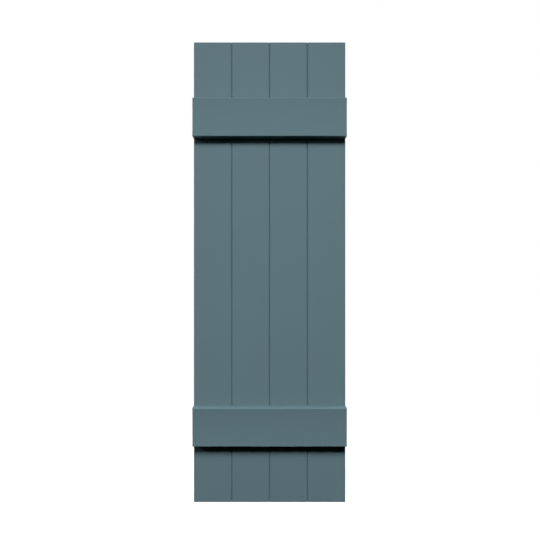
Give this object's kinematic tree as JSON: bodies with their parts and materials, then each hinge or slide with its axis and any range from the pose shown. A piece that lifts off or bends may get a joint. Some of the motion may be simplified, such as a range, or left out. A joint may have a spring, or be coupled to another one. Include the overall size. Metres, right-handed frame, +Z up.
{
  "type": "board and batten shutter",
  "caption": "Fixed exterior shutter of upright tongue-and-groove boards with V joints, held by an upper and a lower batten across the front, screwed from behind.",
  "frame": {"origin": "middle of the flat back, on the wall's plane", "axes": "+X to the right seen from the front, +Y into the wall, +Z up"},
  "size_m": [0.3566, 0.038, 1.0794],
  "materials": {
    "satin_paint": "satin",
    "screw_steel": "satin"
  },
  "bodies": {
    "root": {"left_outer_board": "satin_paint", "left_inner_board": "satin_paint", "right_inner_board": "satin_paint", "right_outer_board": "satin_paint", "upper_batten": "satin_paint", "lower_batten": "satin_paint", "upper_batten_screw_1": "screw_steel", "upper_batten_screw_2": "screw_steel", "upper_batten_screw_3": "screw_steel", "upper_batten_screw_4": "screw_steel", "lower_batten_screw_1": "screw_steel", "lower_batten_screw_2": "screw_steel", "lower_batten_screw_3": "screw_steel", "lower_batten_screw_4": "screw_steel"}
  },
  "joints": []
}
